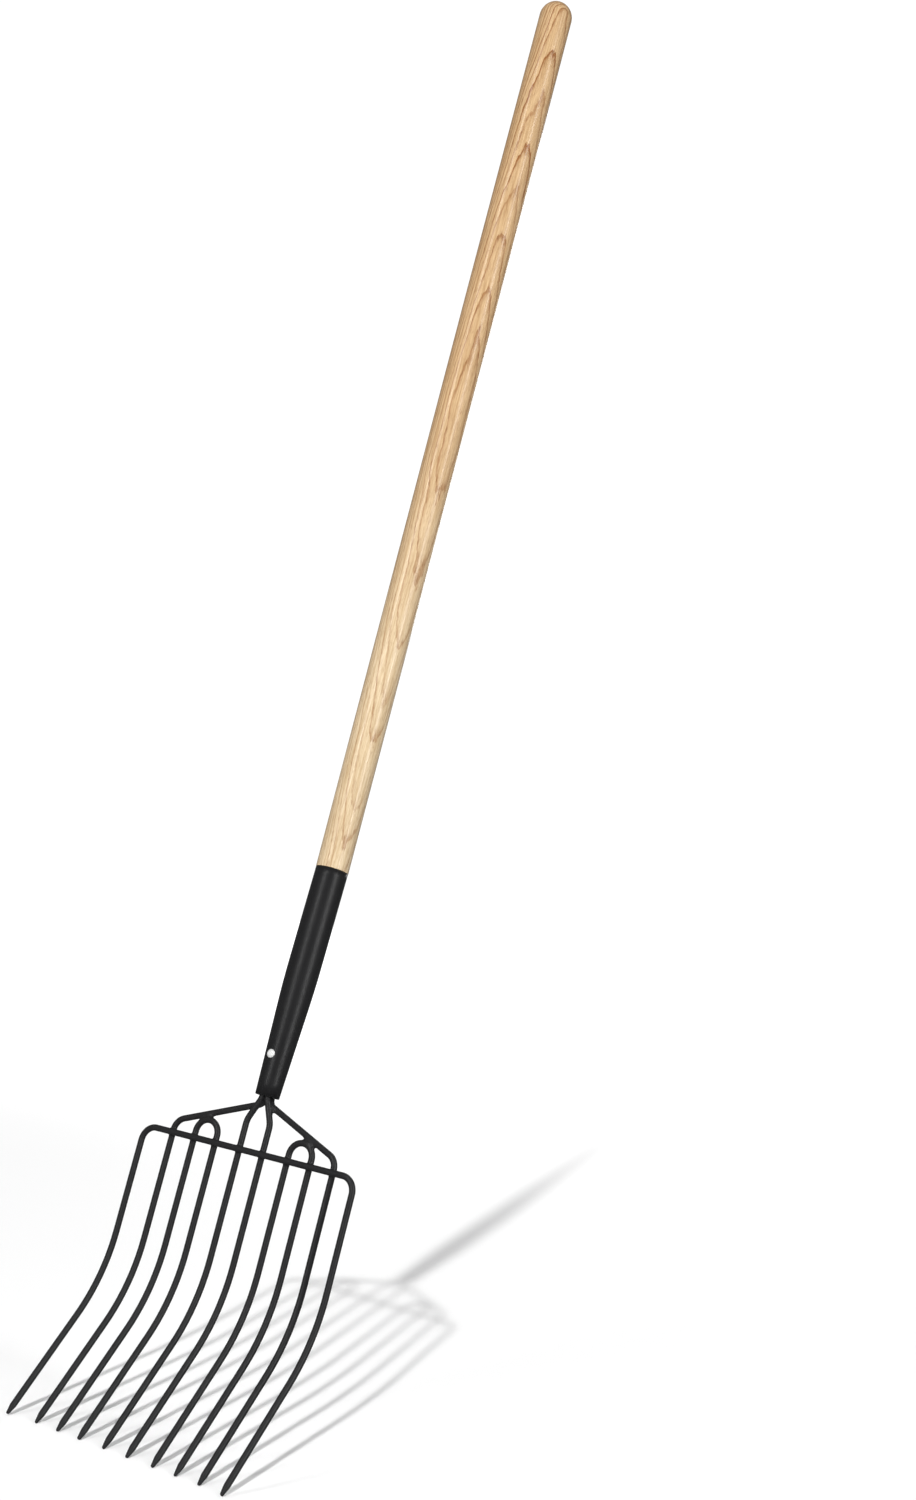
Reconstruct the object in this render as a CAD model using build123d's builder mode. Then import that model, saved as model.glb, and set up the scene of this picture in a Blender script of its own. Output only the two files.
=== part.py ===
from build123d import *
from math import cos, radians, sin, sqrt, tan
import os

# Ten-tine hay fork: an ash handle in a steel socket, and a head of bent and welded round rod.
# +Z runs up the handle, X runs across the tines, and -Y is the front, the side they curve to.
# The origin is on the handle's axis, in the plane of the socket's mouth. Sizes are in mm.

# ---- Driving dimensions ----

# Handle: a straight ash pole, a little slimmer where it meets the socket
handle_above_mouth = 1009.0
grip_radius = 18.25
grip_start = 650.0
mouth_radius = 17.0
tenon_above_socket_end = 28.0
wood_fit = 0.15
# The pole and its leaning tenon are drawn this far past the mouth, then cut and joined there
mouth_overlap = 3.0

# Socket: a steel tube, parallel below the mouth, closed in towards the tines, leaning forward
socket_length = 235.0
socket_parallel = 120.0
socket_radius = 16.8
socket_wall = 2.0
bundle_clearance = 2.4
socket_lean = 2.2
socket_ease_radius = 400.0
rim_round = 0.6

# Rivet: through the socket and the wood, from front to back
rivet_above_socket_end = 41.0
rivet_shank_radius = 2.5
rivet_head_radius = 4.4
rivet_head_height = 2.0
rivet_fit = 0.1

# Rod, and the gap that is left between two rods before they are welded
rod_radius = 3.175
root_gap = 0.3

# Half distances from the middle of the fork to the tines, from the outer bow inwards
bow_half = 132.5
shoulder_half = 101.0
hairpin_outer_half = 73.0
hairpin_inner_half = 45.5
centre_half = 14.5

# Tines: straight below the crossbar, then one forward bend, then straight to the point
crossbar_below_bend = 2.45
tine_length = 312.0
tine_straight = 107.0
tine_bend_radius = 164.0
tine_bend = 31.4
point_length = 9.0
point_radius = 1.2

# Bends of the rods between the crossbar and the socket
bow_corner_radius = 15.0
shank_in_socket = 22.0
shoulder_below_socket = 7.0
shoulder_slope = 20.4
shoulder_bend_radius = 14.0
shank_bend_radius = 9.0
centre_leave_below_socket = 2.0
centre_settle_below_socket = 26.0
centre_leave_radius = 14.0
centre_settle_radius = 20.0
hairpin_flat = 0.5

# Weld metal
crossing_weld_radius = 5.6
hairpin_weld_radius = 5.2
shank_weld_radius = 4.8
shank_weld_past_shank = 5.1
shank_weld_drop = 1.6
socket_weld_depth = 6.0
socket_weld_height = 8.0

# Half the height of the band in which a profile's corners are picked for rounding
pick = 0.01

# ---- Places worked out from them ----

lean_sin = sin(radians(socket_lean))
lean_cos = cos(radians(socket_lean))
socket_axis = Axis((0, 0, 0), (0, lean_sin, lean_cos))
mouth_plane = Plane(origin=(0, 0, 0), x_dir=(1, 0, 0), z_dir=(0, lean_sin, lean_cos))
# Lengthwise section of the socket: its local Y is the socket's axis, 0 at the mouth
socket_section = Plane(origin=(0, 0, 0), x_dir=(1, 0, 0), z_dir=(0, -lean_cos, lean_sin))

pitch = 2 * rod_radius + root_gap
# Four rods side by side in a square, with room around them inside the socket's wall
bundle_radius = pitch * sqrt(0.5) + rod_radius
socket_end_radius = bundle_radius + bundle_clearance + socket_wall
socket_end_z = -socket_length * lean_cos
bundle_y = -(socket_length - shank_in_socket / 2) * lean_sin
tine_y = bundle_y - pitch / 2
back_shank_y = bundle_y + pitch / 2
bow_y = tine_y - pitch
shank_x = pitch / 2
shank_top_z = socket_end_z + shank_in_socket
# The crossbar lies just below the end of the shoulder rods' bend, where they are straight again
shoulder_top_z = socket_end_z - shoulder_below_socket
shoulder_foot_z = shoulder_top_z - (shoulder_half - shank_x) * tan(radians(shoulder_slope))
shoulder_bend_tangent = shoulder_bend_radius * tan(radians(90 - shoulder_slope) / 2)
crossbar_z = shoulder_foot_z - shoulder_bend_tangent - crossbar_below_bend
hairpin_radius = (hairpin_outer_half - hairpin_inner_half) / 2
hairpin_middle = (hairpin_outer_half + hairpin_inner_half) / 2

rivet_depth = socket_length - rivet_above_socket_end
tenon_depth = socket_length - tenon_above_socket_end


def socket_outer_radius(depth):
    """Radius of the socket's outer face at a depth below its mouth."""
    share = max(0.0, (depth - socket_parallel) / (socket_length - socket_parallel))
    return socket_radius + (socket_end_radius - socket_radius) * share


def socket_bore_radius(depth):
    """Radius of the socket's bore at a depth below its mouth."""
    return socket_outer_radius(depth) - socket_wall


# ---- Socket and handle ----

with BuildPart() as socket:
    with BuildSketch(socket_section):
        with BuildLine():
            Polyline(
                (socket_bore_radius(0), 0),
                (socket_radius, 0),
                (socket_radius, -socket_parallel),
                (socket_end_radius, -socket_length),
                (socket_bore_radius(socket_length), -socket_length),
                (socket_bore_radius(0), -socket_parallel),
                close=True,
            )
        make_face()
        rims = vertices().filter_by_position(Axis.Y, -pick, pick)
        rims += vertices().filter_by_position(Axis.Y, -socket_length - pick, -socket_length + pick)
        fillet(rims, radius=rim_round)
        eases = vertices().filter_by_position(Axis.Y, -socket_parallel - pick, -socket_parallel + pick)
        fillet(eases, radius=socket_ease_radius)
    revolve(axis=socket_axis)
    rivet_plane = Plane(
        origin=mouth_plane.from_local_coords((0, 0, -rivet_depth)),
        x_dir=(1, 0, 0),
        z_dir=(0, -lean_cos, lean_sin),
    )
    with BuildSketch(rivet_plane):
        Circle(rivet_shank_radius + rivet_fit)
    extrude(amount=socket_radius, both=True, mode=Mode.SUBTRACT)

with BuildPart() as ash_handle:
    dome_base = handle_above_mouth - grip_radius
    with BuildSketch(Plane.XZ):
        with BuildLine():
            Polyline(
                (0, handle_above_mouth),
                (0, -mouth_overlap),
                (mouth_radius, -mouth_overlap),
                (mouth_radius, 0),
                (grip_radius, grip_start),
                (grip_radius, dome_base),
            )
            ThreePointArc(
                (grip_radius, dome_base),
                (grip_radius * sqrt(0.5), dome_base + grip_radius * sqrt(0.5)),
                (0, handle_above_mouth),
            )
        make_face()
    revolve(axis=Axis.Z)
    split(bisect_by=mouth_plane, keep=Keep.TOP)
    with BuildSketch(socket_section):
        with BuildLine():
            Polyline(
                (0, mouth_overlap),
                (0, -tenon_depth),
                (socket_bore_radius(tenon_depth) - wood_fit, -tenon_depth),
                (socket_bore_radius(0) - wood_fit, -socket_parallel),
                (socket_bore_radius(0) - wood_fit, mouth_overlap),
                close=True,
            )
        make_face()
        eases = vertices().filter_by_position(Axis.Y, -socket_parallel - pick, -socket_parallel + pick)
        fillet(eases, radius=socket_ease_radius)
    revolve(axis=socket_axis)
    with BuildSketch(rivet_plane):
        Circle(rivet_shank_radius + rivet_fit)
    extrude(amount=socket_radius, both=True, mode=Mode.SUBTRACT)

with BuildPart() as rivet:
    tube_radius = socket_outer_radius(rivet_depth)
    # The heads' flat undersides start where their edges meet the round tube
    seat = sqrt(tube_radius**2 - rivet_head_radius**2)
    crown = tube_radius + rivet_head_height
    dome_height = crown - seat
    dome_radius = (rivet_head_radius**2 + dome_height**2) / (2 * dome_height)
    half_rise = sqrt(dome_radius**2 - (rivet_head_radius / 2) ** 2) - (dome_radius - dome_height)
    with BuildSketch(rivet_plane):
        Circle(rivet_shank_radius)
    extrude(amount=seat, both=True)
    rivet_section = Plane(origin=rivet_plane.origin, x_dir=(1, 0, 0), z_dir=(0, -lean_sin, -lean_cos))
    with BuildSketch(rivet_section):
        with BuildLine():
            Polyline((0, crown), (0, seat), (rivet_head_radius, seat))
            ThreePointArc(
                (rivet_head_radius, seat),
                (rivet_head_radius / 2, seat + half_rise),
                (0, crown),
            )
        make_face()
    revolve(axis=Axis(rivet_plane.origin, rivet_plane.z_dir))
    mirror(about=rivet_plane)
    add(socket.part, mode=Mode.SUBTRACT)


# ---- Rods ----


def tine_points(x, y):
    """End of the full rod and corner of the forward bend, for a tine at x with its top at y."""
    tangent = tine_bend_radius * tan(radians(tine_bend / 2))
    corner_z = crossbar_z - tine_straight - tangent
    arc = tine_bend_radius * radians(tine_bend)
    run = tine_length - tine_straight - arc - point_length + tangent
    end = (x, y - run * sin(radians(tine_bend)), corner_z - run * cos(radians(tine_bend)))
    return [end, (x, y, corner_z)]


def bent_rod(points, radii, pointed_ends):
    """A round rod along straight runs joined by tangent arcs, drawn to a blunt point at its tines."""
    with BuildPart() as rod:
        with BuildLine() as path:
            FilletPolyline(*points, radius=radii)
        with BuildSketch(Plane(origin=path.line @ 0, z_dir=path.line % 0)):
            Circle(rod_radius)
        sweep(path=path.line)
        for end in pointed_ends:
            outward = path.line % end * (1 if end else -1)
            with BuildSketch(Plane(origin=path.line @ end, z_dir=outward)) as root:
                Circle(rod_radius)
            with BuildSketch(Plane(origin=path.line @ end + outward * point_length, z_dir=outward)):
                Circle(point_radius)
            loft()
    return rod


def shoulder_line_z(x):
    """Height of a shoulder rod's sloping run at a distance x from the middle."""
    return shoulder_top_z - (abs(x) - shank_x) * tan(radians(shoulder_slope))


def shoulder_line_behind(x):
    """How far a shoulder rod's sloping run lies behind the tines' plane at a distance x."""
    return pitch * (shoulder_half - abs(x)) / (shoulder_half - shank_x)


def hairpin_centre_z():
    """Height of the hairpins' arc centres, so that each arc ends a root gap below its shoulder rod."""
    behind = shoulder_line_behind(hairpin_middle)
    across = sqrt(pitch**2 - behind**2)
    return shoulder_line_z(hairpin_middle) - (hairpin_radius + across) / cos(radians(shoulder_slope))


rods = {}
rods["outer_bow"] = bent_rod(
    tine_points(-bow_half, bow_y)
    + [(-bow_half, bow_y, crossbar_z), (bow_half, bow_y, crossbar_z)]
    + tine_points(bow_half, bow_y)[::-1],
    [tine_bend_radius, bow_corner_radius, bow_corner_radius, tine_bend_radius],
    [0, 1],
)

for side, sign in (("left", -1), ("right", 1)):
    rods[f"{side}_shoulder_rod"] = bent_rod(
        tine_points(sign * shoulder_half, tine_y)
        + [
            (sign * shoulder_half, tine_y, shoulder_line_z(shoulder_half)),
            (sign * shank_x, back_shank_y, shoulder_line_z(shank_x)),
            (sign * shank_x, back_shank_y, shank_top_z),
        ],
        [tine_bend_radius, shoulder_bend_radius, shank_bend_radius],
        [0],
    )
    hairpin_arc_radius = hairpin_radius - hairpin_flat / 2
    hairpin_crown_z = hairpin_centre_z() + hairpin_arc_radius
    rods[f"{side}_hairpin_rod"] = bent_rod(
        tine_points(sign * hairpin_outer_half, tine_y)
        + [
            (sign * hairpin_outer_half, tine_y, hairpin_crown_z),
            (sign * hairpin_inner_half, tine_y, hairpin_crown_z),
        ]
        + tine_points(sign * hairpin_inner_half, tine_y)[::-1],
        [tine_bend_radius, hairpin_arc_radius, hairpin_arc_radius, tine_bend_radius],
        [0, 1],
    )
    rods[f"{side}_centre_rod"] = bent_rod(
        tine_points(sign * centre_half, tine_y)
        + [
            (sign * centre_half, tine_y, socket_end_z - centre_settle_below_socket),
            (sign * shank_x, tine_y, socket_end_z - centre_leave_below_socket),
            (sign * shank_x, tine_y, shank_top_z),
        ],
        [tine_bend_radius, centre_settle_radius, centre_leave_radius],
        [0],
    )


# ---- Weld metal ----


def weld_bead(centre, radius, joined):
    """A round bead of weld metal about a point, filling the corners between the joined rods."""
    with BuildPart() as bead:
        with Locations(centre):
            Sphere(radius)
        for rod in joined:
            add(rod.part, mode=Mode.SUBTRACT)
    return bead


welds = {}
crossing_y = (tine_y + bow_y) / 2
for side, sign in (("left", -1), ("right", 1)):
    crossings = {
        "shoulder": (shoulder_half, "shoulder_rod"),
        "hairpin_outer": (hairpin_outer_half, "hairpin_rod"),
        "hairpin_inner": (hairpin_inner_half, "hairpin_rod"),
        "centre": (centre_half, "centre_rod"),
    }
    for place, (half, rod_name) in crossings.items():
        welds[f"{side}_{place}_weld"] = weld_bead(
            (sign * half, crossing_y, crossbar_z),
            crossing_weld_radius,
            [rods["outer_bow"], rods[f"{side}_{rod_name}"]],
        )

    # Where a hairpin's arc comes nearest to its shoulder rod, square to the rod's slope
    slope = radians(shoulder_slope)
    reach = hairpin_radius + pitch / 2
    top_weld_x = hairpin_middle + reach * sin(slope)
    welds[f"{side}_hairpin_top_weld"] = weld_bead(
        (
            sign * top_weld_x,
            tine_y + shoulder_line_behind(top_weld_x) / 2,
            hairpin_centre_z() + reach * cos(slope),
        ),
        hairpin_weld_radius,
        [rods[f"{side}_shoulder_rod"], rods[f"{side}_hairpin_rod"]],
    )
    shank_weld_x = shank_x + shank_weld_past_shank
    welds[f"{side}_shank_weld"] = weld_bead(
        (sign * shank_weld_x, bundle_y, shoulder_line_z(shank_weld_x) - shank_weld_drop),
        shank_weld_radius,
        [rods[f"{side}_shoulder_rod"], rods[f"{side}_centre_rod"]],
    )

with BuildPart() as socket_weld:
    weld_top = socket_length - socket_weld_depth - socket_weld_height
    weld_bottom = socket_length - socket_weld_depth
    with BuildSketch(socket_section):
        with BuildLine():
            Polyline(
                (0, -weld_top),
                (0, -weld_bottom),
                (socket_bore_radius(weld_bottom), -weld_bottom),
                (socket_bore_radius(weld_top), -weld_top),
                close=True,
            )
        make_face()
    revolve(axis=socket_axis)
    for side in ("left", "right"):
        add(rods[f"{side}_shoulder_rod"].part, mode=Mode.SUBTRACT)
        add(rods[f"{side}_centre_rod"].part, mode=Mode.SUBTRACT)
welds["socket_weld"] = socket_weld

# ---- Export, one file for each piece ----

os.makedirs("parts", exist_ok=True)
pieces = {"ash_handle": ash_handle, "socket": socket, "rivet": rivet, **rods, **welds}
for name, piece in pieces.items():
    piece.part.label = name
    export_step(piece.part, f"parts/{name}.step")
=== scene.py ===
"""Looks of the ten-tine hay fork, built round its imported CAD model.

+Z runs up the handle, X across the tines, and -Y is the front. The origin is on the handle's axis
in the plane of the socket's mouth. Shapes are worked out in mm and put into the meshes in metres.
"""

import bpy
import numpy as np
from mathutils import Matrix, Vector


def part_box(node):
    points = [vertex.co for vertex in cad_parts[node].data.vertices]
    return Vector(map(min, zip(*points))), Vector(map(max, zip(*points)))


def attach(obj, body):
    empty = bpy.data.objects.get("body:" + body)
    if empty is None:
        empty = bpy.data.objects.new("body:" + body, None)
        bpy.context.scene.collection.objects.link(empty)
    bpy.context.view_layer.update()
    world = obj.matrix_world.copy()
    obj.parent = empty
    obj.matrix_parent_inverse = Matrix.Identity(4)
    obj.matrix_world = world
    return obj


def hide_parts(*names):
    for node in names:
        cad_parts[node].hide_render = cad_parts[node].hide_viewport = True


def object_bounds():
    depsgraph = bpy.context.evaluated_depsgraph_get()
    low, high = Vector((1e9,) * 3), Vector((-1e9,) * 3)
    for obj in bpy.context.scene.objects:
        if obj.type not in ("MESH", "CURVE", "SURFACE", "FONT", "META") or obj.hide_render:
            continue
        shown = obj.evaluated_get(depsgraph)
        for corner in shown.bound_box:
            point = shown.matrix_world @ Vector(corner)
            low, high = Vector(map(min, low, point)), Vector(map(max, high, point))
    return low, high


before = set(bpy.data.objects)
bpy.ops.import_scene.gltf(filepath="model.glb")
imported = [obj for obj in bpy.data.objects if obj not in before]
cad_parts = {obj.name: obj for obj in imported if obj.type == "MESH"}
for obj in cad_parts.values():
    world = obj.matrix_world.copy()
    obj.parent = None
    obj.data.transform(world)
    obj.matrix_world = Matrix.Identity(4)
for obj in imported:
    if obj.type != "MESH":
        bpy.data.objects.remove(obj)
cad_low, cad_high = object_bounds()


# ---- Ash handle ----
# A straight pole turned from one length of ash, sanded, given a thin clear lacquer, and domed at
# the grip end. Below the socket's mouth it is cut down to a tenon, which leans forward with the
# socket and takes the rivet.

MM = 0.001
pole_high = np.array(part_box("ash_handle")[1]) / MM
lean = np.radians(2.2)
lean_fade = 30.0
grip_radius = pole_high[0]
grip_start = 650.0
mouth_radius = 17.0
mouth_edge_round = 0.6
dome_base = pole_high[2] - grip_radius
tenon_radius = 14.65
tenon_parallel = 120.0
tenon_length = 207.0
tenon_end_radius = 11.2
tenon_chamfer = 1.5

# How finely the pole is drawn: sides, rings on each stretch, and the angle or share of a radius
# that is left open at a pole or an end for its closing fan
pole_sides = 128
pole_ring_gap = 8.0
tenon_rings, edge_rings, dome_rings = 12, 7, 28
end_open = 0.02


def srgb(code):
    """Linear colour of an sRGB hex code: each channel over 255, then the 2.4 power curve with its
    straight foot."""
    channel = np.array([int(code[at : at + 2], 16) for at in (1, 3, 5)]) / 255
    linear = np.where(channel <= 0.04045, channel / 12.92, ((channel + 0.055) / 1.055) ** 2.4)
    return (*linear.tolist(), 1.0)


def add_node(tree, kind, settings=(), links=()):
    """Adds a shader node. settings holds its properties and the values of its own sockets, and
    links holds the sockets that feed it. Returns the node."""
    node = tree.nodes.new("ShaderNode" + kind)
    for key, value in dict(settings).items():
        if isinstance(key, int) or key in node.inputs:
            node.inputs[key].default_value = value
        else:
            setattr(node, key, value)
    for key, source in dict(links).items():
        tree.links.new(source, node.inputs[key])
    return node


def new_material(name):
    """An empty node material and its tree."""
    material = bpy.data.materials.new(name)
    material.use_nodes = True
    material.node_tree.nodes.clear()
    return material, material.node_tree


def skin(name, rings, material, joined=False):
    """Mesh over a grid of points in mm: [i, j] is place j round ring i, and each ring is joined to
    the next by quads. The end rings are closed to a pole at their middle, or with joined the last
    ring runs on into the first. Faces are turned so that the enclosed volume is positive."""
    count, sides = rings.shape[:2]
    points = rings.reshape(-1, 3) * MM
    starts = np.arange(count if joined else count - 1)
    ring, place = np.meshgrid(starts, np.arange(sides), indexing="ij")
    here, ahead = ring * sides, (ring + 1) % count * sides
    beside = (place + 1) % sides
    corners = (here + place, here + beside, ahead + beside, ahead + place)
    quads = np.stack(corners, axis=-1).reshape(-1, 4)
    fans = np.zeros((0, 3), int)
    if not joined:
        middles = rings[[0, -1]].mean(axis=1) * MM
        first_middle, last_middle = np.full(sides, count * sides), np.full(sides, count * sides + 1)
        points = np.vstack([points, middles])
        edge, next_edge = np.arange(sides), (np.arange(sides) + 1) % sides
        last = (count - 1) * sides
        first_fan = np.stack([first_middle, next_edge, edge], axis=-1)
        last_fan = np.stack([last_middle, last + edge, last + next_edge], axis=-1)
        fans = np.vstack([first_fan, last_fan])
    triangles = np.vstack([quads[:, [0, 1, 2]], quads[:, [0, 2, 3]], fans])
    a, b, c = (points[triangles[:, corner]] for corner in range(3))
    if np.einsum("ij,ij->i", a, np.cross(b, c)).sum() < 0:
        quads, fans = quads[:, ::-1], fans[:, ::-1]
    mesh = bpy.data.meshes.new(name)
    mesh.from_pydata(points.tolist(), [], quads.tolist() + fans.tolist())
    mesh.polygons.foreach_set("use_smooth", np.ones(len(mesh.polygons), bool))
    mesh.materials.append(material)
    piece = bpy.data.objects.new(name, mesh)
    bpy.context.scene.collection.objects.link(piece)
    return piece


def turned(along, radius, sides, tilt):
    """Rings of a turned shape about the handle's axis. A ring at a height above the mouth sits on
    the upright axis, and one below it on an axis leaning forward. Each ring is tilted by its own
    angle, so that the join at the mouth is square to the socket."""
    turn = np.linspace(0, 2 * np.pi, sides, endpoint=False)
    below = np.minimum(along, 0)
    above = np.maximum(along, 0)
    x = radius[:, None] * np.cos(turn)
    back = radius[:, None] * np.sin(turn)
    y = (below * np.sin(lean))[:, None] + back * np.cos(tilt)[:, None]
    z = (below * np.cos(lean) + above)[:, None] - back * np.sin(tilt)[:, None]
    return np.stack([x, y, z], axis=-1)


# Profile from the tenon's end up to the dome's top
edge_turn = np.linspace(0, np.pi / 2, edge_rings)
dome_turn = np.linspace(0, np.pi / 2 - end_open, dome_rings)
straight = np.arange(2 * mouth_edge_round, dome_base, pole_ring_gap)
along = np.concatenate(
    [
        [-tenon_length, -tenon_length, -tenon_length + tenon_chamfer],
        np.linspace(-tenon_parallel, 0, tenon_rings),
        mouth_edge_round * (1 - np.cos(edge_turn)),
        straight,
        dome_base + grip_radius * np.sin(dome_turn),
    ]
)
radius = np.concatenate(
    [
        [tenon_end_radius / 2, tenon_end_radius - tenon_chamfer, tenon_end_radius],
        np.full(tenon_rings, tenon_radius),
        mouth_radius - mouth_edge_round * (1 - np.sin(edge_turn)),
        np.interp(straight, [0, grip_start], [mouth_radius, grip_radius]),
        grip_radius * np.cos(dome_turn),
    ]
)
tilt = lean * np.clip(1 - along / lean_fade, 0, 1)

# Ash, plain sawn from the outer wood, turned and sanded, under one thin coat of clear lacquer.
# Ring-porous: each year starts with a band of open pores that reads as a thin brown line, then
# pale dense wood. The rings are sheets almost in line with the pole, so they make long straight
# lines on the cut-through sides and stacked tongues on the side towards the bark.
bark_side = np.array([0.858, -0.514, 0.0])
pith_distance = 62.0
year_width = 3.0
belly_height = 470.0
belly_length = 170.0
belly_rise = 0.058
pore_width, pore_length = 0.9, 8.0
fibre_width, fibre_length = 1.6, 60.0

ash, tree = new_material("lacquered_ash")
place = add_node(tree, "TexCoord").outputs["Object"]
in_mm = add_node(tree, "VectorMath", {"operation": "SCALE", "Scale": 1 / MM}, {0: place})
place_mm = in_mm.outputs[0]
height = add_node(tree, "SeparateXYZ", {}, {0: place_mm}).outputs["Z"]

# Distance from the pith, less the belly that makes the tongues point both ways from mid height
flat = add_node(tree, "VectorMath", {"operation": "MULTIPLY", 1: (1, 1, 0)}, {0: place_mm})
from_pith = add_node(
    tree,
    "VectorMath",
    {"operation": "ADD", 1: tuple(pith_distance * bark_side)},
    {0: flat.outputs[0]},
)
pith_gap = add_node(tree, "VectorMath", {"operation": "LENGTH"}, {0: from_pith.outputs[0]})
from_belly = add_node(tree, "Math", {"operation": "SUBTRACT", 1: belly_height}, {0: height})
belly_arm = add_node(tree, "CombineXYZ", {"Y": belly_length}, {"X": from_belly.outputs[0]})
belly_gap = add_node(tree, "VectorMath", {"operation": "LENGTH"}, {0: belly_arm.outputs[0]})
sheet = add_node(
    tree,
    "Math",
    {"operation": "MULTIPLY_ADD", 1: -belly_rise},
    {0: belly_gap.outputs["Value"], 2: pith_gap.outputs["Value"]},
)

# The grain wanders slowly, then more closely, then in small waves. Each row holds where its noise
# starts, its size across and along the pole in mm, its detail and roughness, and how many mm it
# spreads the sheets over.
wanders = (
    ((3.1, 1.7, 0.4), 45, 150, 2, 0.45, 9.0),
    ((7.7, 2.9, 5.2), 14, 60, 3, 0.5, 2.4),
    ((1.3, 8.2, 2.4), 3.5, 16, 2, 0.6, 1.3),
)
for start, wide, long, detail, roughness, spread in wanders:
    wander_place = add_node(
        tree,
        "Mapping",
        {"Location": start, "Scale": (1 / wide, 1 / wide, 1 / long)},
        {"Vector": place_mm},
    )
    wander = add_node(
        tree,
        "TexNoise",
        {"Scale": 1, "Detail": detail, "Roughness": roughness},
        {"Vector": wander_place.outputs[0]},
    )
    shift = add_node(
        tree,
        "Math",
        {"operation": "MULTIPLY_ADD", 1: spread, 2: -spread / 2},
        {0: wander.outputs[0]},
    )
    sheet = add_node(tree, "Math", {"operation": "ADD"}, {0: sheet.outputs[0], 1: shift.outputs[0]})

years = add_node(tree, "Math", {"operation": "DIVIDE", 1: year_width}, {0: sheet.outputs[0]})
year = add_node(tree, "Math", {"operation": "FLOOR"}, {0: years.outputs[0]})
season = add_node(tree, "Math", {"operation": "FRACT"}, {0: years.outputs[0]})

# How dark the pore band is at each time of the year, and how strong it is in each year. The ends
# are half dark, so that one year runs softly into the next.
pore_band = add_node(tree, "ValToRGB", {}, {0: season.outputs[0]})
for stop in pore_band.color_ramp.elements:
    stop.color = (0.55, 0.55, 0.55, 1)
for at, dark in ((0.02, 1.0), (0.11, 0.85), (0.2, 0.35), (0.36, 0.1), (0.8, 0.0), (0.97, 0.1)):
    pore_band.color_ramp.elements.new(at).color = (dark, dark, dark, 1)
good_year = add_node(tree, "TexWhiteNoise", {"noise_dimensions": "1D"}, {"W": year.outputs[0]})
year_strength = add_node(
    tree, "MapRange", {"To Min": 0.5, "To Max": 1.0}, {"Value": good_year.outputs["Value"]}
)
year_band = add_node(
    tree, "Math", {"operation": "MULTIPLY"}, {0: pore_band.outputs[0], 1: year_strength.outputs[0]}
)
# The lines are paler in the lower half
line_share = add_node(
    tree,
    "MapRange",
    {"From Min": 120, "From Max": 560, "To Min": 0.65, "To Max": 1.15},
    {"Value": height},
)
band = add_node(
    tree, "Math", {"operation": "MULTIPLY"}, {0: year_band.outputs[0], 1: line_share.outputs[0]}
)

# Open pores: dark dashes, drawn about three times their real size, to show
pore_place = add_node(
    tree,
    "Mapping",
    {"Scale": (1 / pore_width, 1 / pore_width, 1 / pore_length)},
    {"Vector": place_mm},
)
pores = add_node(
    tree, "TexNoise", {"Scale": 1, "Detail": 2, "Roughness": 0.6}, {"Vector": pore_place.outputs[0]}
)
pore_cut = add_node(
    tree, "MapRange", {"From Min": 0.52, "From Max": 0.64}, {"Value": pores.outputs[0]}
)
pore_share = add_node(
    tree, "Math", {"operation": "MULTIPLY_ADD", 1: 0.8, 2: 0.25}, {0: band.outputs[0]}
)
pore_dark = add_node(
    tree, "Math", {"operation": "MULTIPLY"}, {0: pore_cut.outputs[0], 1: pore_share.outputs[0]}
)

# Fibres: faint streaks between a darker and a paler wood
fibre_place = add_node(
    tree,
    "Mapping",
    {"Scale": (1 / fibre_width, 1 / fibre_width, 1 / fibre_length)},
    {"Vector": place_mm},
)
fibres = add_node(
    tree,
    "TexNoise",
    {"Scale": 1, "Detail": 3, "Roughness": 0.6},
    {"Vector": fibre_place.outputs[0]},
)
fibre_tone = add_node(
    tree, "MapRange", {"From Min": 0.3, "From Max": 0.7}, {"Value": fibres.outputs[0]}
)

wood = add_node(
    tree,
    "Mix",
    {"data_type": "RGBA", 6: srgb("#aa926f"), 7: srgb("#c9b799")},
    {0: fibre_tone.outputs[0]},
)
banded = add_node(
    tree, "Mix", {"data_type": "RGBA", 7: srgb("#855b32")}, {0: band.outputs[0], 6: wood.outputs[2]}
)
pored = add_node(
    tree,
    "Mix",
    {"data_type": "RGBA", 7: srgb("#7a5733")},
    {0: pore_dark.outputs[0], 6: banded.outputs[2]},
)
# The upper half is more golden, as it was cut nearer the heartwood
golden = add_node(
    tree,
    "MapRange",
    {"interpolation_type": "SMOOTHSTEP", "From Min": 180, "From Max": 560},
    {"Value": height},
)
toned = add_node(
    tree,
    "Mix",
    {"data_type": "RGBA", "blend_type": "MULTIPLY", 7: (0.86, 0.74, 0.62, 1)},
    {0: golden.outputs[0], 6: pored.outputs[2]},
)
pore_depth = add_node(tree, "Math", {"operation": "MULTIPLY", 1: -1}, {0: pore_dark.outputs[0]})
pore_bump = add_node(
    tree, "Bump", {"Strength": 0.35, "Distance": 0.12 * MM}, {"Height": pore_depth.outputs[0]}
)
ash_rough = add_node(
    tree, "MapRange", {"To Min": 0.32, "To Max": 0.6}, {"Value": pore_dark.outputs[0]}
)
ash_shader = add_node(
    tree,
    "BsdfPrincipled",
    {"IOR": 1.5, "Coat Weight": 0.4, "Coat Roughness": 0.16},
    {
        "Base Color": toned.outputs[2],
        "Roughness": ash_rough.outputs[0],
        "Normal": pore_bump.outputs[0],
    },
)
add_node(tree, "OutputMaterial", {}, {"Surface": ash_shader.outputs[0]})

pole = skin("turned_ash_pole", turned(along, radius, pole_sides, tilt), ash)
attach(pole, "root")
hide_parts("ash_handle")


# ---- Socket ----
# A drawn steel tube, 2 mm thick, parallel below the mouth and then closed in to hug the four
# shanks. It leans forward a little. Powder coated in satin black after the head is welded in.

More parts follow.
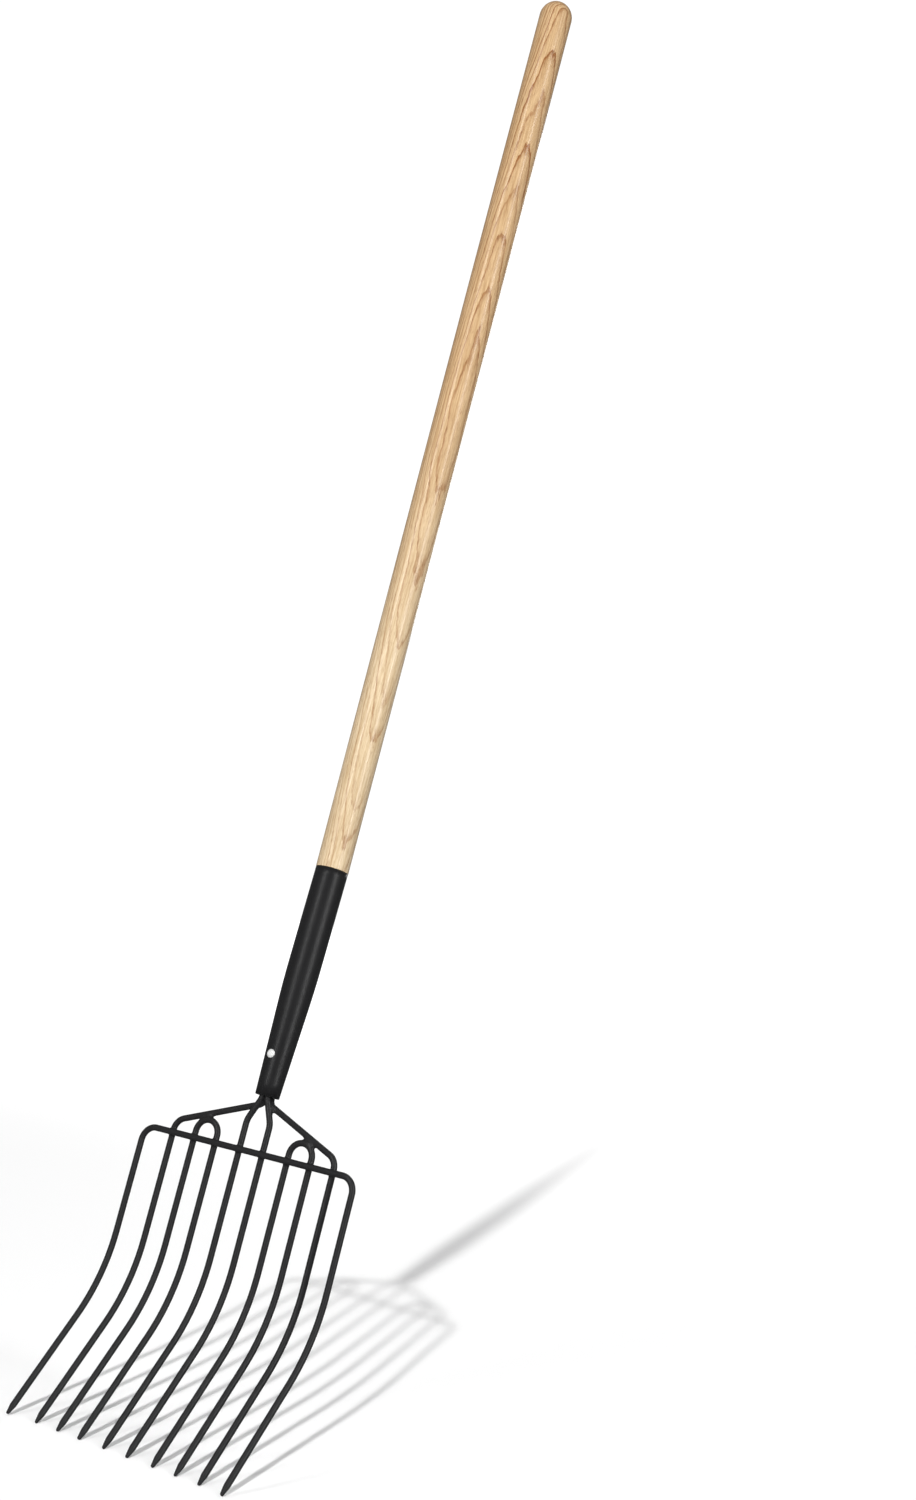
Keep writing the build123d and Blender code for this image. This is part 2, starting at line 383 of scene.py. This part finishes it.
socket_length = 235.0
socket_parallel = 120.0
socket_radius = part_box("socket")[1][0] / MM
socket_end_radius = 12.28
socket_wall = 2.0
rim_round = 0.6
ease_length = 22.0
ease_from, ease_to = socket_parallel - ease_length, socket_parallel + ease_length

# How finely the tube is drawn
socket_sides = 112
rim_rings, wall_rings, ease_rings = 6, 8, 16
wall_gap, ease_gap = 8.0, 2.0


def socket_outer(depth):
    """Outer radius at a depth below the mouth: straight, then a straight taper, eased into each
    other along a parabola."""
    slope = (socket_radius - socket_end_radius) / (socket_length - socket_parallel)
    past = depth - socket_parallel
    curve = (past + ease_length) ** 2 / (4 * ease_length)
    eased = np.where(np.abs(past) < ease_length, curve, np.maximum(past, 0))
    return socket_radius - slope * eased


def powder_coat(name, black, gloss_rough):
    """Satin black polyester powder, sprayed dry and baked: an even charcoal black with the soft
    ripple of a baked coat, 1.6 mm from crest to crest, and patches 14 mm across that are a little
    paler and rougher, where it lies thicker."""
    ripple_width, patch_width = 1.6 * MM, 14 * MM
    patch_pale = (*(1.35 * part for part in srgb(black)[:3]), 1)
    patch_rough = 0.02
    material, tree = new_material(name)
    place = add_node(tree, "TexCoord").outputs["Object"]
    ripple = add_node(
        tree,
        "TexNoise",
        {"Scale": 1 / ripple_width, "Detail": 1, "Roughness": 0.5},
        {"Vector": place},
    )
    patch = add_node(
        tree,
        "TexNoise",
        {"Scale": 1 / patch_width, "Detail": 3, "Roughness": 0.55},
        {"Vector": place},
    )
    colour = add_node(
        tree, "Mix", {"data_type": "RGBA", 6: srgb(black), 7: patch_pale}, {0: patch.outputs[0]}
    )
    rough_range = {"To Min": gloss_rough - patch_rough, "To Max": gloss_rough + patch_rough}
    rough = add_node(
        tree,
        "MapRange",
        {"From Min": 0.3, "From Max": 0.7, **rough_range},
        {"Value": patch.outputs[0]},
    )
    bump = add_node(
        tree, "Bump", {"Strength": 0.06, "Distance": 0.05 * MM}, {"Height": ripple.outputs[0]}
    )
    shader = add_node(
        tree,
        "BsdfPrincipled",
        {"IOR": 1.5, "Specular IOR Level": 0.5},
        {"Base Color": colour.outputs[2], "Roughness": rough.outputs[0], "Normal": bump.outputs[0]},
    )
    add_node(tree, "OutputMaterial", {}, {"Surface": shader.outputs[0]})
    return material


# Closed wall profile: down the outside, round the lower rim, up the bore, round the upper rim
rim_turn = np.linspace(0, np.pi / 2, rim_rings)
rim_out, rim_in = rim_round * (1 - np.cos(rim_turn)), rim_round * (1 - np.sin(rim_turn))
outside = np.concatenate(
    [
        [rim_round],
        np.linspace(wall_gap, ease_from, wall_rings),
        np.linspace(ease_from + ease_gap, ease_to, ease_rings),
        np.linspace(ease_to + wall_gap, socket_length - rim_round, wall_rings),
    ]
)
inside = outside[::-1]
wall_depth = np.concatenate(
    [outside, socket_length - rim_in, socket_length - rim_out, inside, rim_in, rim_out]
)
wall_radius = np.concatenate(
    [
        socket_outer(outside),
        socket_outer(socket_length) - rim_out,
        socket_outer(socket_length) - socket_wall + rim_in,
        socket_outer(inside) - socket_wall,
        socket_radius - socket_wall + rim_out,
        socket_radius - rim_in,
    ]
)

socket_coat = powder_coat("socket_satin_powder_coat", "#121213", 0.4)
tube = skin(
    "closed_in_socket_tube",
    turned(-wall_depth, wall_radius, socket_sides, np.full(len(wall_depth), lean)),
    socket_coat,
    joined=True,
)
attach(tube, "root")
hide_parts("socket")


# ---- Rivet ----
# A steel rivet through socket and tenon, zinc plated, set after coating, so it stays bright. Its
# front head is a low dome, dished in the middle by the setting tool.

rivet_depth = 194.0
rivet_shank = 2.5
rivet_head = 4.4
rivet_head_height = 2.0
rivet_head_sink = 0.3
rivet_head_curve = 0.75
rivet_edge = 0.75
rivet_dish_radius = 2.1
rivet_dish_depth = 0.45
rivet_sides, rivet_head_rings = 48, 22

# Bright zinc plate: a pale grey metal, scuffed by the setting tool in spots 0.35 mm across. It is
# metallic only in part, so that it stays pale where there is little bright to mirror.
scuff_width = 0.35 * MM
zinc, tree = new_material("bright_zinc_plate")
place = add_node(tree, "TexCoord").outputs["Object"]
scuff = add_node(
    tree, "TexNoise", {"Scale": 1 / scuff_width, "Detail": 4, "Roughness": 0.6}, {"Vector": place}
)
scuff_rough = add_node(
    tree, "MapRange", {"To Min": 0.3, "To Max": 0.5}, {"Value": scuff.outputs[0]}
)
scuff_bump = add_node(
    tree, "Bump", {"Strength": 0.25, "Distance": 0.04 * MM}, {"Height": scuff.outputs[0]}
)
scuff_tone = add_node(
    tree,
    "Mix",
    {"data_type": "RGBA", 6: srgb("#f4f4f2"), 7: srgb("#dfe0e0")},
    {0: scuff.outputs[0]},
)
zinc_shader = add_node(
    tree,
    "BsdfPrincipled",
    {"Metallic": 0.45},
    {
        "Base Color": scuff_tone.outputs[2],
        "Roughness": scuff_rough.outputs[0],
        "Normal": scuff_bump.outputs[0],
    },
)
add_node(tree, "OutputMaterial", {}, {"Surface": zinc_shader.outputs[0]})

# Profile along the rivet's own axis, from the middle of the back head to the middle of the front.
# A head rises by one less the square of its share of the radius, to the power 0.75, and the dish in
# it is half an ellipse.
tube_radius = float(socket_outer(np.array(rivet_depth)))
head_seat = np.sqrt(tube_radius**2 - rivet_head**2) - rivet_head_sink
head_share = np.linspace(1, end_open, rivet_head_rings)
head_out = rivet_head * head_share
dome_rise = rivet_head_height + tube_radius - head_seat - rivet_edge
head_rise = dome_rise * (1 - head_share**2) ** rivet_head_curve
dish = rivet_dish_depth * np.clip(1 - (head_out / rivet_dish_radius) ** 2, 0, 1) ** 0.5
head_along = head_seat + rivet_edge + head_rise - dish
rivet_along = np.concatenate(
    [-head_along[::-1], [-head_seat, -head_seat, head_seat, head_seat], head_along]
)
rivet_radius = np.concatenate(
    [head_out[::-1], [rivet_head, rivet_shank, rivet_shank, rivet_head], head_out]
)
rivet_middle = -rivet_depth * np.array([0, np.sin(lean), np.cos(lean)])
rivet_front = np.array([0, -np.cos(lean), np.sin(lean)])
rivet_up = np.array([0, np.sin(lean), np.cos(lean)])
turn = np.linspace(0, 2 * np.pi, rivet_sides, endpoint=False)[:, None]
rivet_spokes = np.cos(turn) * np.array([1, 0, 0]) + np.sin(turn) * rivet_up
rivet_centres = rivet_middle + rivet_along[:, None, None] * rivet_front
rivet_rings = rivet_centres + rivet_radius[:, None, None] * rivet_spokes
rivet = skin("set_zinc_rivet", rivet_rings, zinc)
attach(rivet, "root")
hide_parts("rivet")


# ---- Bent rods ----
# Seven lengths of 6.35 mm round mild steel rod, bent cold, drawn to a short blunt point at each
# tine. The outer bow makes the first tine, the crossbar and the tenth tine; two hairpins make two
# tines each; two shoulder rods and two centre rods make one tine each and run up into the socket.

rod_radius = 3.175
tine_length = 312.0
tine_straight = 107.0
tine_bend_radius = 164.0
tine_bend = np.radians(31.4)
point_length = 10.0
point_blend = 3.0
point_end = 0.42
point_flat = 0.14
point_curve = 1.15
point_round = 1.3
bow_corner_radius = 15.0
shoulder_bend_radius = 14.0
shank_bend_radius = 9.0
shoulder_below_socket = 7.0
shoulder_slope = np.radians(20.4)
centre_leave, centre_leave_radius = 2.0, 14.0
centre_settle, centre_settle_radius = 26.0, 20.0
shank_in_socket = 22.0
hairpin_flat = 0.5

# How finely the rods are drawn
rod_sides = 28
rod_ring_gap = 5.0
arc_step = np.radians(3.0)
point_rings = 14

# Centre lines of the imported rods, a rod's radius inside their boxes
bow_high = np.array(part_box("outer_bow")[1]) / MM
crossbar_z = bow_high[2] - rod_radius
bow_y = bow_high[1] - rod_radius
bow_half = bow_high[0] - rod_radius
shoulder_low, shoulder_high = (np.array(corner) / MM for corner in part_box("right_shoulder_rod"))
shoulder_half = shoulder_high[0] - rod_radius
shank_x = shoulder_low[0] + rod_radius
back_shank_y = shoulder_high[1] - rod_radius
hairpin_low, hairpin_high = (np.array(corner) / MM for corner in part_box("right_hairpin_rod"))
hairpin_outer = hairpin_high[0] - rod_radius
hairpin_inner = hairpin_low[0] + rod_radius
hairpin_top = hairpin_high[2] - rod_radius
tine_y = hairpin_high[1] - rod_radius
centre_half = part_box("right_centre_rod")[1][0] / MM - rod_radius
socket_end_z = -socket_length * np.cos(lean)
shank_top = socket_end_z + shank_in_socket


def tine_corners(x, y):
    """Tip of a tine and the corner of its forward bend, for a tine that leaves the crossbar at x
    and y. The bend's tangent length, less its arc, is what the straight runs lose to it."""
    tangent = tine_bend_radius * np.tan(tine_bend / 2)
    corner_z = crossbar_z - tine_straight - tangent
    run = tine_length - tine_straight - tine_bend_radius * tine_bend + tangent
    tip = (x, y - run * np.sin(tine_bend), corner_z - run * np.cos(tine_bend))
    return [tip, (x, y, corner_z)]


def bent_line(corners, radii):
    """Points along straight runs whose corners are rounded by tangent arcs. An arc starts a tangent
    length before its corner, and its points are sine and versine steps along and across the run."""
    corners = [np.array(corner, float) for corner in corners]
    line = [corners[0][None]]
    start = corners[0]
    for before, corner, after, bend in zip(corners, corners[1:], corners[2:], radii):
        along_in = (corner - before) / np.linalg.norm(corner - before)
        along_out = (after - corner) / np.linalg.norm(after - corner)
        turn = np.arccos(np.clip(along_in @ along_out, -1, 1))
        across = along_out - (along_in @ along_out) * along_in
        across /= np.linalg.norm(across)
        arc_start = corner - along_in * bend * np.tan(turn / 2)
        steps = max(2, int(np.linalg.norm(arc_start - start) / rod_ring_gap) + 1)
        line.append(start + np.linspace(0, 1, steps)[1:-1, None] * (arc_start - start))
        angle = np.linspace(0, turn, max(3, int(turn / arc_step) + 1))[:, None]
        line.append(arc_start + bend * (np.sin(angle) * along_in + (1 - np.cos(angle)) * across))
        start = line[-1][-1]
    steps = max(2, int(np.linalg.norm(corners[-1] - start) / rod_ring_gap) + 1)
    line.append(start + np.linspace(0, 1, steps)[1:, None] * (corners[-1] - start))
    return np.vstack(line)


def rod_rings(line, points):
    """Rings round a line. The two directions across the line are its cross product with Y and the
    cross product of that with the line. points gives, for each pointed end, the angle of its
    flatter side: over the point the radius shrinks, almost in a straight line, to a share that is
    larger on two opposite sides, and the last of it is rounded over as a quarter circle."""
    gap = np.linalg.norm(np.diff(line, axis=0), axis=1)
    way = np.concatenate([[0], np.cumsum(gap)])
    step = np.linspace(0, 1, point_rings)
    rounded = point_round * (1 - np.cos(step * np.pi / 2))
    extra = np.concatenate([rounded, point_round + step[1:] * (point_length + point_blend)])
    stops = way
    if 0 in points:
        stops = np.concatenate([extra, stops[stops > extra[-1]]])
    if 1 in points:
        stops = np.concatenate([stops[stops < way[-1] - extra[-1]], way[-1] - extra[::-1]])
    place = np.stack([np.interp(stops, way, line[:, part]) for part in range(3)], axis=-1)
    ahead = np.gradient(place, stops, axis=0)
    ahead /= np.linalg.norm(ahead, axis=1)[:, None]
    side = np.cross(ahead, (0, 1, 0))
    side /= np.linalg.norm(side, axis=1)[:, None]
    up = np.cross(side, ahead)
    turn = np.linspace(0, 2 * np.pi, rod_sides, endpoint=False)
    radius = np.full((len(stops), rod_sides), rod_radius)
    for end, flat_turn in points.items():
        inwards = stops if end == 0 else way[-1] - stops
        drawn = np.clip(1 - inwards / point_length, 0, 1)[:, None] ** point_curve
        share = point_end + point_flat * np.cos(2 * (turn - np.radians(flat_turn)))
        over = np.clip(1 - inwards / point_round, 0, 1)[:, None]
        blunt = np.sqrt(np.maximum(1 - over**2, end_open**2))
        radius = radius * (1 - drawn * (1 - share)) * blunt
    return (
        place[:, None]
        + (radius * np.cos(turn))[:, :, None] * side[:, None]
        + (radius * np.sin(turn))[:, :, None] * up[:, None]
    )


# The same satin coat as the socket's, but its black is a touch paler: painted sheen for the
# highlights that blur across the thin rods. The weld beads and the socket's plug take it too.
rod_coat_painted_sheen = powder_coat("rod_satin_powder_coat", "#19191a", 0.4)
bow_left, bow_right = tine_corners(-bow_half, bow_y), tine_corners(bow_half, bow_y)
crossbar = [(-bow_half, bow_y, crossbar_z), (bow_half, bow_y, crossbar_z)]
lines = {
    "outer_bow": bent_line(
        bow_left + crossbar + bow_right[::-1],
        [tine_bend_radius, bow_corner_radius, bow_corner_radius, tine_bend_radius],
    )
}
point_turns = {"outer_bow": {0: 10, 1: 75}}
shoulder_top = socket_end_z - shoulder_below_socket
shoulder_foot = shoulder_top - (shoulder_half - shank_x) * np.tan(shoulder_slope)
hairpin_arc = (hairpin_outer - hairpin_inner - hairpin_flat) / 2
for side, sign, turns in (("left", -1, (80, 5, 20, 95)), ("right", 1, (15, 25, 85, 10))):
    lines[f"{side}_shoulder_rod"] = bent_line(
        tine_corners(sign * shoulder_half, tine_y)
        + [
            (sign * shoulder_half, tine_y, shoulder_foot),
            (sign * shank_x, back_shank_y, shoulder_top),
            (sign * shank_x, back_shank_y, shank_top),
        ],
        [tine_bend_radius, shoulder_bend_radius, shank_bend_radius],
    )
    lines[f"{side}_hairpin_rod"] = bent_line(
        tine_corners(sign * hairpin_outer, tine_y)
        + [(sign * hairpin_outer, tine_y, hairpin_top), (sign * hairpin_inner, tine_y, hairpin_top)]
        + tine_corners(sign * hairpin_inner, tine_y)[::-1],
        [tine_bend_radius, hairpin_arc, hairpin_arc, tine_bend_radius],
    )
    lines[f"{side}_centre_rod"] = bent_line(
        tine_corners(sign * centre_half, tine_y)
        + [
            (sign * centre_half, tine_y, socket_end_z - centre_settle),
            (sign * shank_x, tine_y, socket_end_z - centre_leave),
            (sign * shank_x, tine_y, shank_top),
        ],
        [tine_bend_radius, centre_settle_radius, centre_leave_radius],
    )
    point_turns[f"{side}_shoulder_rod"] = {0: turns[0]}
    point_turns[f"{side}_hairpin_rod"] = {0: turns[1], 1: turns[2]}
    point_turns[f"{side}_centre_rod"] = {0: turns[3]}

for node, line in lines.items():
    rod = skin("bent_" + node, rod_rings(line, point_turns[node]), rod_coat_painted_sheen)
    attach(rod, "root")
    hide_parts(node)


# ---- Weld beads ----
# Short runs of weld metal in the corners between two rods: eight where the inner tines cross
# behind the crossbar, two on top of the hairpins, and two where the shanks part below the socket.
# They are coated with the rods.

weld_inset = 0.06
weld_reach = 12.0
weld_fade = 7.5
weld_ripple = 0.16
weld_ripple_gap = 1.5
weld_ripple_way = (0.6, 0.5, 0.62)
crossing_fill, hairpin_fill, shank_fill = 4.5, 5.0, 5.5

# How finely a bead is drawn, and in how many steps its surface is looked for outwards
bead_rings, bead_sides, bead_steps = 44, 72, 40


def line_gap(points, line):
    """Shortest distance from each point to a line of straight pieces: the point's share along each
    piece is its dot product with the piece over the piece's length squared, kept from 0 to 1."""
    start, run = line[:-1], np.diff(line, axis=0)
    offset = points[..., None, :] - start
    share = np.clip((offset * run).sum(-1) / (run * run).sum(-1), 0, 1)
    return np.linalg.norm(offset - share[..., None] * run, axis=-1).min(axis=-1)


def weld_rings(centre, first, second, fill):
    """Weld metal as distances from a centre in all directions. It ends at the first place where
    the distance to the nearer rod, less a quarter of the fill times the square of how alike the
    two distances are, comes to nothing. The fill dies away outwards, so the bead sinks into the
    rods. Its bare part is rippled along one slanting direction by a sine."""
    polar = np.linspace(end_open, np.pi - end_open, bead_rings)[:, None]
    turn = np.linspace(0, 2 * np.pi, bead_sides, endpoint=False)[None]
    off_axis, on_axis = np.sin(polar), np.cos(polar) * np.ones_like(turn)
    way = np.stack([off_axis * np.cos(turn), on_axis, off_axis * np.sin(turn)], axis=-1)
    close_by = 3 * weld_reach
    near = [line[np.linalg.norm(line - centre, axis=1) < close_by] for line in (first, second)]
    out = np.linspace(0, weld_reach, bead_steps)
    places = centre + out[None, None, :, None] * way[:, :, None]
    gaps = [line_gap(places, line) - rod_radius for line in near]
    easing = fill * (1 - np.clip((out - weld_fade) / (weld_reach - weld_fade), 0, 1) ** 2)
    alike = np.clip(1 - np.abs(gaps[0] - gaps[1]) / np.maximum(easing, 0.001), 0, 1)
    level = np.minimum(*gaps) - easing * alike**2 / 4 + weld_inset
    outside = level > 0
    step = np.where(outside.any(axis=-1), outside.argmax(axis=-1), bead_steps - 1)[..., None]
    beyond = np.take_along_axis(level, step, axis=-1)[..., 0]
    within = np.take_along_axis(level, np.maximum(step - 1, 0), axis=-1)[..., 0]
    share = np.where(beyond > 0, -within / np.maximum(beyond - within, 1e-6), 1)
    reach = (step[..., 0] - 1 + np.clip(share, 0, 1)) * out[1]
    surface = centre + reach[..., None] * way
    bare = np.clip(np.minimum(*(line_gap(surface, line) for line in near)) - rod_radius, 0, 1)
    ripple = weld_ripple * np.sin(2 * np.pi * (surface @ weld_ripple_way) / weld_ripple_gap)
    return surface + (bare * ripple)[..., None] * way


crossing_y = (tine_y + bow_y) / 2
for side, sign in (("left", -1), ("right", 1)):
    shoulder_rod, hairpin_rod = lines[f"{side}_shoulder_rod"], lines[f"{side}_hairpin_rod"]
    centre_rod = lines[f"{side}_centre_rod"]
    spots = {}
    for spot, half, rod in (
        ("shoulder", shoulder_half, shoulder_rod),
        ("hairpin_outer", hairpin_outer, hairpin_rod),
        ("hairpin_inner", hairpin_inner, hairpin_rod),
        ("centre", centre_half, centre_rod),
    ):
        crossing = np.array([sign * half, crossing_y, crossbar_z])
        spots[spot] = (crossing, lines["outer_bow"], rod, crossing_fill)
    for spot, rod, fill in (
        ("hairpin_top", hairpin_rod, hairpin_fill),
        ("shank", centre_rod, shank_fill),
    ):
        middle = sum(np.array(corner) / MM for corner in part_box(f"{side}_{spot}_weld")) / 2
        spots[spot] = (middle, shoulder_rod, rod, fill)
    for spot, (centre, first, second, fill) in spots.items():
        bead = skin(f"{side}_{spot}_weld_bead", weld_rings(centre, first, second, fill), rod_coat_painted_sheen)
        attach(bead, "root")
        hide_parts(f"{side}_{spot}_weld")


# ---- Socket weld ----
# A plug of weld metal a few millimetres up inside the socket's open end. It ties the four shanks
# to the tube, and its lower face is uneven.

plug_depth = 6.0
plug_height = 8.0
plug_uneven = 0.5
plug_sides, plug_lower_rings, plug_upper_rings = 72, 14, 6

# Each ring is a share of the bore's radius, out over the lower face and back in over the upper
# one. The lower face has three broad lumps and seven small ones round it.
plug_lower = np.linspace(end_open, 1, plug_lower_rings)
plug_share = np.concatenate([plug_lower, np.linspace(1, end_open, plug_upper_rings)])[:, None]
plug_is_lower = (np.arange(len(plug_share)) < plug_lower_rings)[:, None]
plug_face = np.where(plug_is_lower, plug_depth, plug_depth + plug_height)
plug_turn = np.linspace(0, 2 * np.pi, plug_sides, endpoint=False)[None]
plug_broad = np.sin(3 * plug_turn + 5 * plug_share)
plug_small = np.cos(7 * plug_turn - 4 * plug_share)
plug_lump = plug_uneven * (plug_broad + plug_small) / 2
plug_at = socket_length - plug_face - np.where(plug_is_lower, plug_lump * plug_share, 0)
plug_radius = plug_share * (socket_outer(plug_at) - socket_wall)
plug_rings = np.stack(
    [
        plug_radius * np.cos(plug_turn),
        -plug_at * np.sin(lean) + plug_radius * np.sin(plug_turn) * np.cos(lean),
        -plug_at * np.cos(lean) - plug_radius * np.sin(plug_turn) * np.sin(lean),
    ],
    axis=-1,
)
plug = skin("socket_weld_plug", plug_rings, rod_coat_painted_sheen)
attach(plug, "root")
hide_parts("socket_weld")


# ---- Floor ----
# A white studio floor that touches the tine tips. The fork leans back over it, so in the fork's own
# frame it rises towards the back. It glows to the white of the backdrop away from the fork, so that
# no horizon shows.

floor_half = 12.0
floor_rise = np.tan(np.radians(10))
tips_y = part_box("right_centre_rod")[0][1]
across, depth = floor_half * np.array([-1, 1, 1, -1]), floor_half * np.array([-1, -1, 1, 1])
corners = np.stack([across, depth, cad_low[2] + (depth - tips_y) * floor_rise], axis=-1)
mesh = bpy.data.meshes.new("studio_floor")
mesh.from_pydata(corners.tolist(), [], [(0, 1, 2, 3)])
floor = bpy.data.objects.new("studio_floor", mesh)
floor.visible_glossy = False
bpy.context.scene.collection.objects.link(floor)

# Matt white paint within 1.4 m, and the backdrop's own white past 4.2 m
floor_paint, tree = new_material("white_studio_floor")
place = add_node(tree, "TexCoord").outputs["Object"]
flat = add_node(tree, "VectorMath", {"operation": "MULTIPLY", 1: (1, 1, 0)}, {0: place})
away = add_node(tree, "VectorMath", {"operation": "LENGTH"}, {0: flat.outputs[0]})
fade = add_node(
    tree,
    "MapRange",
    {"interpolation_type": "SMOOTHSTEP", "From Min": 1.4, "From Max": 4.2},
    {"Value": away.outputs["Value"]},
)
matt = add_node(tree, "BsdfDiffuse", {"Color": (0.9, 0.9, 0.9, 1)})
lift = add_node(tree, "Emission", {"Color": (1, 1, 1, 1), "Strength": 0.03})
paint = add_node(tree, "AddShader", {}, {0: matt.outputs[0], 1: lift.outputs[0]})
glow = add_node(tree, "Emission", {"Color": (1, 1, 1, 1), "Strength": 1.35})
blend = add_node(
    tree, "MixShader", {}, {0: fade.outputs[0], 1: paint.outputs[0], 2: glow.outputs[0]}
)
add_node(tree, "OutputMaterial", {}, {"Surface": blend.outputs[0]})
mesh.materials.append(floor_paint)


# ---- Light ----
# A white backdrop all round, dimmer as light than as seen; a low key from the front, whose shadows
# fall away behind the fork; two tall strip boxes, which give the rods and the socket their two long
# highlights; and a fill from behind.

scene = bpy.context.scene
world = bpy.data.worlds.new("studio")
scene.world = world
world.use_nodes = True
tree = world.node_tree
tree.nodes.clear()
ray = add_node(tree, "LightPath")
seen = add_node(tree, "Background", {"Color": (1, 1, 1, 1), "Strength": 1.05})
soft = add_node(tree, "Background", {"Color": (1, 1, 1, 1), "Strength": 0.3})
mirrored = add_node(tree, "Background", {"Color": (1, 1, 1, 1), "Strength": 0.12})
for_gloss = add_node(
    tree,
    "MixShader",
    {},
    {0: ray.outputs["Is Glossy Ray"], 1: soft.outputs[0], 2: mirrored.outputs[0]},
)
backdrop = add_node(
    tree,
    "MixShader",
    {},
    {0: ray.outputs["Is Camera Ray"], 1: for_gloss.outputs[0], 2: seen.outputs[0]},
)
add_node(tree, "OutputWorld", {}, {"Surface": backdrop.outputs[0]})


def aimed(piece, at, towards):
    """Puts a light at a place and turns its -Z towards another. Its X is level, as the cross product
    of straight up with the line between the places, and its Y is the cross product of the two."""
    away = np.array(at) - np.array(towards)
    across = np.cross((0, 0, 1), away)
    across /= np.linalg.norm(across)
    away /= np.linalg.norm(away)
    up = np.cross(away, across)
    rows = [(*row, place) for row, place in zip(np.stack([across, up, away], axis=1), at)]
    piece.matrix_world = Matrix([*rows, (0, 0, 0, 1)])


# Two key lamps shine the same way, each with its strength and its width in degrees. The second one
# lights the floor alone, so that its white is full and its shadows are deep.
key_at = (0.70, -1.84, 0.40)
floor_only = bpy.data.collections.new("floor_only")
floor_only.objects.link(floor)
for name, energy, angle in (("key", 2.9, 1.3), ("floor_key", 1.75, 2.6)):
    key = bpy.data.objects.new(name, bpy.data.lights.new(name, "SUN"))
    key.data.energy = energy
    key.data.angle = np.radians(angle)
    key.visible_glossy = False
    aimed(key, key_at, (0, 0, 0))
    scene.collection.objects.link(key)
key.light_linking.receiver_collection = floor_only

# Each box: its turn from the camera's side in degrees, its distance and height, its width and
# length in metres, and its power in watts. It faces the handle's lower half.
view_turn = np.radians(34.071)
boxes_face = (0, 0, 0.3)
boxes = (
    ("left_strip", -36, 1.7, 0.65, 0.26, 2.4, 10.0),
    ("right_strip", 44, 1.7, 0.65, 0.3, 2.4, 13.0),
    ("rear_fill", 165, 2.4, 1.5, 1.2, 1.2, 14.0),
)
for name, turn, distance, height, width, length, power in boxes:
    lamp = bpy.data.objects.new(name, bpy.data.lights.new(name, "AREA"))
    lamp.data.shape = "RECTANGLE"
    lamp.data.size = width
    lamp.data.size_y = length
    lamp.data.energy = power
    facing = view_turn + np.radians(turn)
    aimed(lamp, (distance * np.sin(facing), -distance * np.cos(facing), height), boxes_face)
    scene.collection.objects.link(lamp)

scene.view_settings.view_transform = "Standard"
scene.view_settings.look = "None"


# ---- Camera ----
# Stands low in front of the fork and to its right, with a 48 mm lens on a 36 mm sensor. It is
# rolled, so that the handle leans to the right.

camera = bpy.data.objects.new("camera", bpy.data.cameras.new("camera"))
camera.data.lens = 48.0
camera.data.sensor_width = 36.0
camera.data.clip_start, camera.data.clip_end = 0.05, 60.0
view_tilt, view_roll = np.radians(-11.955), np.radians(-14.142)

# The level line and the way down, both across the line of sight, are turned about it by the roll
level = np.array([np.cos(view_turn), np.sin(view_turn), 0])
inwards = np.array([-np.sin(view_turn), np.cos(view_turn), 0])
forward = inwards * np.cos(view_tilt) - np.array([0, 0, np.sin(view_tilt)])
down = np.cross(forward, level)
right = np.cos(view_roll) * level + np.sin(view_roll) * down
below = -np.sin(view_roll) * level + np.cos(view_roll) * down
camera_at = np.array([1.20791, -1.61806, -0.27414])
turned_frame = np.stack([right, -below, -forward], axis=1)
rows = [(*row, place) for row, place in zip(turned_frame, camera_at)]
camera.matrix_world = Matrix([*rows, (0, 0, 0, 1)])
scene.collection.objects.link(camera)
scene.camera = camera
